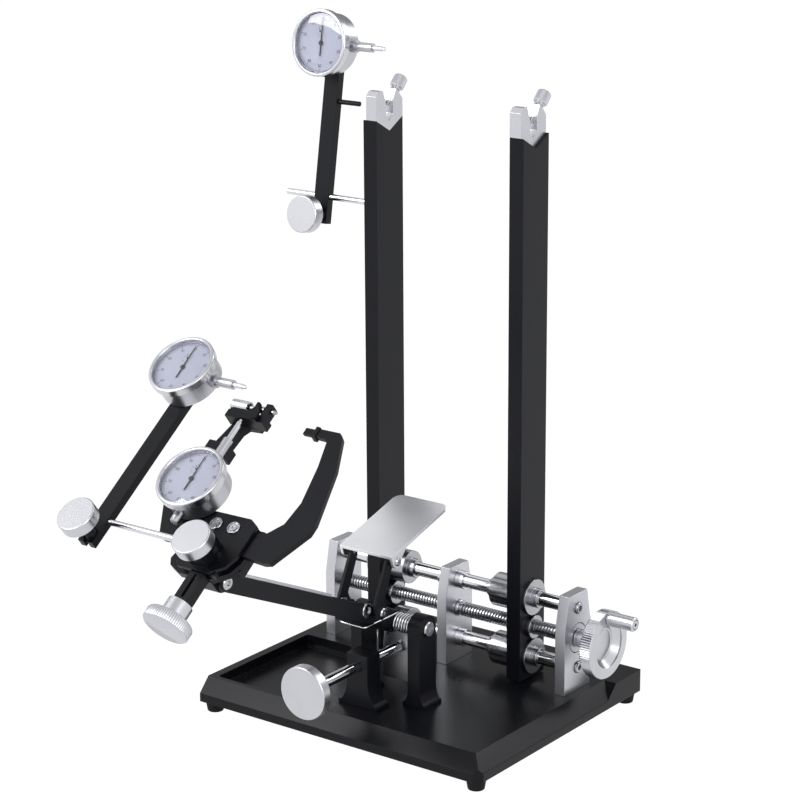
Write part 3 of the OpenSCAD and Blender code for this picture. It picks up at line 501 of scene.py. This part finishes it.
CAL_R = 20.0
CAL_KNOB = [(0, 0), (18.6, 0), (19.4, -0.5), (CAL_R, -1.4), (CAL_R, -8.6), (19.4, -9.5),
            (18.6, -10), (10.8, -10), (10.8, -24.1), (10.2, -24.7), (1.5, -24.7), (1.5, -66),
            (0, -66)]
knurled_knob("cal_knob", "cal_knob_turn", CAL_KNOB, 72, CAL_R, 0.6, (-9, -1))
THUMB_R = 6.2
THUMB = [(0, 0), (5.2, 0), (THUMB_R, -1), (THUMB_R, -10), (5.2, -11), (4.2, -11), (4.2, -13),
         (2.5, -13), (2.5, -26.8), (0, -26.8)]
for side in ("right", "left"):
    knurled_knob(side + "_thumbscrew", side + "_thumbscrew_turn", THUMB, 26, THUMB_R, 0.45,
                 (-10.4, -0.6))
print("knurled knobs made")

# %% [markdown]
# ## The feeler's bush
#
# The feeler pin slides in a bright turned bush at the tip of the left jaw. The bush is a
# closed ring, so it is spun from an outline that returns to its first point.

# %% Feeler bush
pin_low, pin_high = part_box("feeler_pin")
feeler_point = (pin_low + pin_high) / 2
BUSH_X = -61.0
BUSH_L = 17.0
BUSH_R, BUSH_BORE = 4.9, 3.2
BUSH = [(BUSH_BORE, 0.3), (BUSH_BORE + 0.3, 0), (BUSH_R - 0.3, 0), (BUSH_R, 0.3),
        (BUSH_R, BUSH_L - 0.3), (BUSH_R - 0.3, BUSH_L), (BUSH_BORE + 0.3, BUSH_L),
        (BUSH_BORE, BUSH_L - 0.3), (BUSH_BORE, 0.3)]
bush_spot = Vector((BUSH_X * MM, feeler_point.y, feeler_point.z))
bush = place(lathe(BUSH, 48), axes(bush_spot, (1, 0, 0), (0, 0, 1)))
bush_metal = turned_metal("turned_feeler_bush", feeler_point, Vector((1, 0, 0)),
                          "#d3d4d8", "#c9cace", 0.22)
give(bush, "feeler_bush", bodies["left_jaw"], bush_metal)
print("feeler bush", [round(d / MM, 1) for d in bush.dimensions])

# %% [markdown]
# ## The lead screw
#
# One shaft carries a left-hand thread on one side of the centre plate and a right-hand
# thread on the other, so that one wheel moves both uprights. The Screw modifier sweeps one
# pitch of a trapezoid, which is cheaper and truer than a bump. Turning it the other way
# gives the other hand.

# %% Threads
PITCH = 3.0
CREST_R = 6.4
ROOT_R = 4.9
THREAD_TURNS = 37
THREAD_START = 8.3


def thread(hand):
    """A closed rod of thread that starts at height 0 and runs up Z."""
    flank = [(ROOT_R, 0), (CREST_R, 0.55), (CREST_R, 1.35), (ROOT_R, 1.9), (ROOT_R, PITCH)]
    rod = outline(flank)
    bpy.ops.object.mode_set(mode="OBJECT")
    sweep = rod.modifiers.new("sweep", "SCREW")
    sweep.angle = hand * math.tau
    sweep.screw_offset = PITCH * MM
    sweep.iterations = THREAD_TURNS
    sweep.steps = sweep.render_steps = 24
    bpy.ops.object.modifier_apply(modifier="sweep")
    edit(rod)
    bpy.ops.mesh.remove_doubles(threshold=0.002 * MM)
    bpy.ops.mesh.select_all(action="SELECT")
    bpy.ops.mesh.fill_holes(sides=0)
    return smooth(close_up(rod), 25)


# %% Lead screw
screw_low, screw_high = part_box("lead_screw")
half = -screw_low.x / MM
SHAFT = [(0, -half), (4.7, -half), (5, 0.3 - half), (5, -8), (7.2, -8), (7.5, -7.7), (7.5, -5.7),
         (7.2, -5.4), (5, -5.4), (5, 5.4), (7.2, 5.4), (7.5, 5.7), (7.5, 7.7), (7.2, 8), (5, 8),
         (5, half + 0.3), (7.6, half + 0.3), (8, half + 0.7), (8, half + 16.8), (7.6, half + 17.2),
         (5, half + 17.2), (5, screw_high.x / MM), (0, screw_high.x / MM)]
shaft = lathe(SHAFT, 48)
thread_end = THREAD_START + PITCH * (THREAD_TURNS + 1)
right_thread = place(thread(-1), Matrix.Translation((0, 0, THREAD_START * MM)))
left_thread = place(thread(1), Matrix.Translation((0, 0, -thread_end * MM)))
lead_screw = join([shaft, right_thread, left_thread])
place(lead_screw, axes((0, wheel_point.y, wheel_point.z), (1, 0, 0), (0, 1, 0)))
give(lead_screw, "lead_screw_threaded", bodies["lead_screw"], bright_steel)
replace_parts(lead_screw, "lead_screw")
print("lead screw triangles", sum(len(face.vertices) - 2 for face in lead_screw.data.polygons))

# %% [markdown]
# ## The return spring
#
# A torsion spring lifts the arm: its coil sits on the pivot pin, its fixed end hooks into the
# cheeks and its other end runs forward as a square loop under the arm. A wire follows a
# path, so it is a curve with a round bevel that is turned into a mesh.

# %% Wire from a path
def wire(points, diameter, name):
    """A closed round wire along points in metres."""
    fresh()
    curve = bpy.data.curves.new(name, "CURVE")
    curve.dimensions = "3D"
    curve.bevel_depth = diameter / 2
    curve.bevel_resolution = 3
    curve.use_fill_caps = True
    spline = curve.splines.new("POLY")
    spline.points.add(len(points) - 1)
    for slot_point, point in zip(spline.points, points):
        slot_point.co = (*point, 1)
    piece = bpy.data.objects.new(name, curve)
    bpy.context.scene.collection.objects.link(piece)
    only(piece)
    bpy.ops.object.convert(target="MESH")
    return smooth(close_up(bpy.context.object), 60)


# %% Spring
WIRE = 1.7
COIL_R = 7.45
COIL_TURNS = 6
COIL_X = (14.2, 31.0)
HOOK_LEFT, HOOK_RIGHT = -42.0, -22.0
LEFT_X = -13.3
LEG_Y = -44.6
BEND = 2.5
pin = Vector(joints["arm_swing"]["pos_m"])


def from_pin(x, y, z):
    """A point given in mm from the pivot pin."""
    return pin + Vector((x, y, z)) * MM


def hook(x, z, out):
    """The bent end of the wire below a coil: from the coil down, then sideways into its hole."""
    return [from_pin(x, COIL_R, z + 2), from_pin(x + 0.4 * out, COIL_R, z + 0.7),
            from_pin(x + 2 * out, COIL_R, z), from_pin(x + 6 * out, COIL_R, z)]


STEPS = 28
turn_pitch = (COIL_X[1] - COIL_X[0]) / COIL_TURNS
coil_path = hook(COIL_X[1], HOOK_RIGHT, 1)[::-1]
for step in range(int(STEPS * (COIL_TURNS + 0.25)) + 1):
    turn = math.tau * step / STEPS
    coil_path.append(from_pin(COIL_X[1] - turn_pitch * step / STEPS,
                              COIL_R * math.cos(turn), COIL_R * math.sin(turn)))
left_path = [from_pin(LEFT_X, COIL_R * math.cos(t), COIL_R * math.sin(t))
             for t in [math.radians(90 - 7.5 * k) for k in range(13)]]
left_path += hook(LEFT_X, HOOK_LEFT, -1)
coil = join([wire(coil_path, WIRE * MM, "coil"), wire(left_path, WIRE * MM, "left_end")])
give(coil, "torsion_spring_wound", bodies["torsion_spring"], chrome)
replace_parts(coil, "torsion_spring")

# %% The spring's loop under the arm
LEG_START = -0.3
leg_x = COIL_X[0] - turn_pitch / 4
corners = [(BEND * math.cos(t), BEND * math.sin(t))
           for t in [math.radians(15 * k) for k in range(7)]]
leg_path = [from_pin(leg_x, LEG_START, COIL_R)]
leg_path += [from_pin(leg_x - BEND + c, LEG_Y + BEND - s, COIL_R) for c, s in corners]
leg_path += [from_pin(LEFT_X + BEND - s, LEG_Y + BEND - c, COIL_R) for c, s in corners]
leg_path += [from_pin(LEFT_X, LEG_START, COIL_R)]
leg = wire(leg_path, WIRE * MM, "leg")
give(leg, "spring_leg_bent", bodies["spring_leg"], chrome)
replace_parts(leg, "spring_leg")
wire_length = sum((b - a).length for a, b in zip(coil_path, coil_path[1:]))
print("spring wire", round(wire_length / MM), "mm")

# %% [markdown]
# ## The rubber feet
#
# Four short tapered feet with a rounded lower rim. Each is held by a screw in a recess,
# which shows only when the stand is turned over.

# %% Feet
FOOT_H = -foot_z / MM
FOOT_TOP_R, FOOT_LOW_R = 8.5, 7.2
SCREW_RECESS = 2.4
foot_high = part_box("rubber_feet")[1]
FOOT = ([(0, SCREW_RECESS - FOOT_H), (3.6, SCREW_RECESS - FOOT_H), (3.9, -FOOT_H + 0.3),
         (4.2, -FOOT_H)]
        + arc(FOOT_LOW_R - 1, 1 - FOOT_H, 1, -90, -8)
        + [(FOOT_TOP_R - 0.15, -1.2), (FOOT_TOP_R, -0.8), (FOOT_TOP_R, 0), (0, 0)])
foot_x = foot_high.x / MM - FOOT_TOP_R
foot_y = foot_high.y / MM - FOOT_TOP_R
feet = []
for x in (-foot_x, foot_x):
    for y in (-foot_y, foot_y):
        feet.append(place(lathe(FOOT, 40), Matrix.Translation(Vector((x, y, 0)) * MM)))
feet = give(join(feet), "rubber_feet_moulded", bodies["rubber_feet"], moulded_rubber)
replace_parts(feet, "rubber_feet")
print("feet", foot_x, foot_y)

# %% [markdown]
# ## Dial indicators
#
# Each dial is a turned case with a polished bezel, a printed enamel face under a domed
# glass, and a thin needle. Its own frame starts at the front of the bezel: Z looks out of
# the dial, and Y points to the zero mark.

# %% Finishes of a dial
def enamel(tree, point):
    """Baked enamel: pale and almost even, with a soft gloss."""
    cloud = add_node(tree, "ShaderNodeTexNoise",
                     {"Vector": point, "Scale": per_mm(12), "Detail": 2.0})
    tone = add_node(tree, "ShaderNodeMix",
                    {"Factor": cloud.outputs["Fac"], COLOUR_A: linear("#bdc0d8"),
                     COLOUR_B: linear("#c4c7dc")}, data_type="RGBA")
    return add_node(tree, "ShaderNodeBsdfPrincipled",
                    {"Base Color": tone.outputs[COLOUR_OUT], "Roughness": 0.45})


def crystal(tree, point):
    """Mineral glass."""
    smear = add_node(tree, "ShaderNodeTexNoise",
                     {"Vector": point, "Scale": per_mm(14), "Detail": 2.0})
    rough = add_node(tree, "ShaderNodeMapRange",
                     {"Value": smear.outputs["Fac"], "To Min": 0.0, "To Max": 0.03})
    return add_node(tree, "ShaderNodeBsdfPrincipled",
                    {"Base Color": linear("#ffffff"), "Roughness": rough.outputs["Result"],
                     "IOR": 1.45, "Transmission Weight": 1.0})


dial_enamel = surface("baked_white_enamel", enamel)
dial_glass = surface("mineral_glass", crystal)
dial_ink = surface("printed_grey_ink", black_skin("#23253a", "#2a2c40", 0.6, 0.4, 0.002))
print("dial finishes:", dial_enamel.name, dial_glass.name, dial_ink.name)

# %% Marks of a dial face
FACE_Z = -5.7
FACE_R = 25.9
INK = 0.04
RING_R = 25.3
COUNTER_R = 4.9


def marks(count, inner, outer, width):
    """A ring of equal printed marks: one bar is modelled and dealt round the dial. Sizes in mm."""
    fresh()
    middle = Vector((0, (inner + outer) / 2, FACE_Z + INK / 2)) * MM
    bpy.ops.mesh.primitive_cube_add(size=1, location=middle,
                                    scale=(width * MM, (outer - inner) * MM, INK * MM))
    bar = bpy.context.object
    bpy.ops.object.transform_apply(location=True, rotation=True, scale=True)
    edit(bar)
    bpy.ops.mesh.spin(steps=count, dupli=True, angle=math.tau, center=(0, 0, 0), axis=(0, 0, 1))
    return close_up(bar)


def number(text, angle, radius, size):
    """A plain printed number, upright, at an angle clockwise from the zero mark."""
    fresh()
    bpy.ops.object.text_add()
    words = bpy.context.object
    words.data.body = text
    words.data.size = size * MM
    words.data.extrude = INK / 2 * MM
    words.data.align_x = "CENTER"
    words.data.align_y = "CENTER"
    bpy.ops.object.convert(target="MESH")
    turn = math.radians(90 - angle)
    spot = Vector((radius * math.cos(turn), radius * math.sin(turn), FACE_Z + INK / 2)) * MM
    return place(bpy.context.object, Matrix.Translation(spot))


def face_print():
    """All that is printed on one dial: a hundred divisions, ten numbers and a small counter."""
    sub = Vector((-2.4, 10.1, 0)) * MM
    rings = [marks(100, 23.9, RING_R, 0.26), marks(20, 23.3, RING_R, 0.34),
             marks(10, 22.6, RING_R, 0.5)]
    numbers = [number(str(10 * k), 36 * k, 20.0, 3.9) for k in range(10)]
    counter = [marks(10, 3.8, COUNTER_R, 0.26), marks(5, 3.3, COUNTER_R, 0.34)]
    for ring in counter:
        place(ring, Matrix.Translation(sub))
    hand = lathe([(0, FACE_Z), (0.7, FACE_Z), (0.7, FACE_Z + 0.5), (0, FACE_Z + 0.5)], 20)
    place(hand, Matrix.Translation(sub))
    fresh()
    bpy.ops.mesh.primitive_cube_add(size=1, location=(0, 1.2 * MM, (FACE_Z + 0.4) * MM),
                                    scale=(0.35 * MM, 4.6 * MM, 0.2 * MM))
    pointer = place(bpy.context.object,
                    Matrix.Translation(sub) @ Matrix.Rotation(math.radians(20), 4, "Z"))
    return join(rings + numbers + counter + [hand, pointer])


# %% Bezel, face and glass
BEZEL_BACK = -7.5
BEZEL_IN, BEZEL_OUT = 26.1, 29.5
BEZEL = ([(BEZEL_IN, BEZEL_BACK), (29, BEZEL_BACK), (BEZEL_OUT, -7), (BEZEL_OUT, -1.6)]
         + arc(28.3, -1.4, 1.2, 0, 80, 5) + arc(27.5, -1.2, 1.2, 90, 170, 5)
         + [(BEZEL_IN, -2), (BEZEL_IN, BEZEL_BACK)])
PIN_HOLE = 1.1
FACE = [(PIN_HOLE, BEZEL_BACK), (FACE_R, BEZEL_BACK), (FACE_R, FACE_Z), (PIN_HOLE, FACE_Z),
        (PIN_HOLE, BEZEL_BACK)]
GLASS_TOP = [(0, -0.7), (9, -0.85), (18, -1.35), (23, -1.85), (26, -2.3)]
GLASS_T = 0.8
GLASS = GLASS_TOP + [(radius, height - GLASS_T) for radius, height in GLASS_TOP[::-1]]


def dial(letter):
    """Dresses one dial in its own frame and moves it onto its CAD case."""
    centre, axis = own_axis(f"dial_{letter}_needle_turn")
    out = -axis
    stem = -Vector(joints[f"dial_{letter}_plunger_slide"]["axis"]).normalized()
    zero = stem if letter == "b" else out.cross(stem)
    front = centre + out * (reach(f"dial_{letter}_bezel", out)[1] - centre.dot(out))
    frame_of_dial = axes(front, out, zero.cross(out))
    body = bodies[f"dial_{letter}_case"]
    case_metal = turned_metal(f"turned_dial_{letter}_case", centre, out,
                              "#c3c4c9", "#b6b7bd", 0.3)
    bezel_metal = turned_metal(f"polished_dial_{letter}_bezel", centre, out,
                               "#cfd0d5", "#c5c6cb", 0.24)
    dress(f"dial_{letter}_case", case_metal, 0.5)
    dress(f"dial_{letter}_plunger", chrome, 0.15)
    dress(f"dial_{letter}_needle", needle_enamel, 0)
    bezel = place(lathe(BEZEL, 128), frame_of_dial)
    give(bezel, f"dial_{letter}_bezel_polished", body, bezel_metal)
    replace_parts(bezel, f"dial_{letter}_bezel")
    face = place(lathe(FACE, 96), frame_of_dial)
    give(face, f"dial_{letter}_face", body, dial_enamel)
    ink = place(face_print(), frame_of_dial)
    give(ink, f"dial_{letter}_print", body, dial_ink)
    glass = place(lathe(GLASS, 96, 50), frame_of_dial)
    give(glass, f"dial_{letter}_glass", body, dial_glass)
    print("dial", letter, "centre", [round(v / MM, 1) for v in front])


for letter in "abc":
    dial(letter)

# %% [markdown]
# ## The studio
#
# A long lens stands a little above the stand and to its right. The camera sees a white floor
# and a white world. Metal needs something to reflect, so mirrors see white walls, a greyer
# ceiling and a dark screen behind the stand. The lamps stay low enough that a colour renders
# as it is written.

# %% Camera
AZIMUTH, ELEVATION, ROLL = math.radians(36.94), math.radians(15.84), math.radians(-0.34)
TARGET = Vector((-33.35, 16.2, 262.27)) * MM
DISTANCE = 2210.99 * MM
LENS, SENSOR = 114.75, 36.0
back = Vector((math.sin(AZIMUTH) * math.cos(ELEVATION), -math.cos(AZIMUTH) * math.cos(ELEVATION),
               math.sin(ELEVATION)))
right = Vector((math.cos(AZIMUTH), math.sin(AZIMUTH), 0))
rolled = right * math.cos(ROLL) + back.cross(right) * math.sin(ROLL)
fresh()
bpy.ops.object.camera_add()
camera = bpy.context.object
camera.matrix_world = axes(TARGET + back * DISTANCE, back, rolled)
camera.data.lens = LENS
camera.data.sensor_width = SENSOR
camera.data.clip_end = 20
bpy.context.scene.camera = camera
print("camera at", [round(v, 3) for v in camera.matrix_world.translation])

# %% Rays that show a thing, and the floor
def showing_rays(tree):
    """Two sockets: 1 for a camera ray, and 1 for any ray seen directly, in a mirror or in glass."""
    path = add_node(tree, "ShaderNodeLightPath")
    mirrored = add_node(tree, "ShaderNodeMath",
                        {0: path.outputs["Is Glossy Ray"], 1: path.outputs["Is Transmission Ray"]},
                        operation="MAXIMUM")
    shown = add_node(tree, "ShaderNodeMath",
                     {0: path.outputs["Is Camera Ray"], 1: mirrored.outputs[0]},
                     operation="MAXIMUM")
    return path.outputs["Is Camera Ray"], shown.outputs[0]


def floor_paint(tree, point):
    """White paint that shows the camera plain white and still takes a soft shadow."""
    shown = showing_rays(tree)[1]
    part = add_node(tree, "ShaderNodeMath", {0: shown, 1: 0.97}, operation="MULTIPLY")
    paint = add_node(tree, "ShaderNodeBsdfDiffuse", {"Color": linear("#f2f2f3")})
    white = add_node(tree, "ShaderNodeEmission", {"Color": linear("#ffffff"), "Strength": 1.05})
    return add_node(tree, "ShaderNodeMixShader",
                    {0: part.outputs[0], 1: paint.outputs[0], 2: white.outputs[0]})


fresh()
bpy.ops.mesh.primitive_plane_add(size=60, location=(0, 0, foot_z))
floor = bpy.context.object
floor.name = "studio_floor"
floor.data.materials.append(surface("white_floor_paint", floor_paint))

# %% World
world = bpy.data.worlds.new("white_studio")
bpy.context.scene.world = world
world.use_nodes = True
sky = world.node_tree
sky.nodes.clear()
by_camera, shown = showing_rays(sky)
direction = add_node(sky, "ShaderNodeTexCoord").outputs["Generated"]
parts = add_node(sky, "ShaderNodeSeparateXYZ", {0: direction})
# The ceiling is grey and a dark screen stands behind the stand, so that metal gets its
# dark bands and the slab's top stays black.
ceiling = add_node(sky, "ShaderNodeMapRange",
                   {"Value": parts.outputs["Z"], "From Min": 0.6, "From Max": 0.98,
                    "To Min": 1.06, "To Max": 0.72}, interpolation_type="SMOOTHSTEP")
screen = add_node(sky, "ShaderNodeMapRange",
                  {"Value": parts.outputs["Y"], "From Min": 0.5, "From Max": 0.8,
                   "To Min": 1.0, "To Max": 0.3}, interpolation_type="SMOOTHSTEP")
lit = add_node(sky, "ShaderNodeMath", {0: ceiling.outputs["Result"], 1: screen.outputs["Result"]},
               operation="MULTIPLY")
# The camera itself sees plain white above the floor.
backdrop = add_node(sky, "ShaderNodeMath",
                    {0: lit.outputs[0], 1: by_camera}, operation="MAXIMUM")
walls = add_node(sky, "ShaderNodeBackground",
                 {"Color": linear("#ffffff"), "Strength": backdrop.outputs[0]})
air = add_node(sky, "ShaderNodeBackground", {"Color": linear("#ffffff"), "Strength": 0.5})
both = add_node(sky, "ShaderNodeMixShader",
                {0: shown, 1: air.outputs[0], 2: walls.outputs[0]})
add_node(sky, "ShaderNodeOutputWorld", {"Surface": both.outputs[0]})

# %% Soft boxes
# Name, place in metres, size in metres and power in watts.
LAMPS = [("key", (-1.3, -1.7, 1.7), 1.3, 34),
         ("fill", (1.9, -1.2, 1.1), 1.4, 16),
         ("rim", (0.9, 1.8, 1.6), 1.0, 14)]
aim = Vector((0, 0, 0.25))
for name, spot, size, watts in LAMPS:
    fresh()
    bpy.ops.object.light_add(type="AREA", location=spot)
    lamp = bpy.context.object
    lamp.name = name + "_soft_box"
    lamp.data.size = size
    lamp.data.energy = watts
    lamp.rotation_euler = (aim - Vector(spot)).to_track_quat("-Z", "Y").to_euler()
bpy.context.scene.view_settings.view_transform = "Standard"
print("lamps", [lamp[0] for lamp in LAMPS])
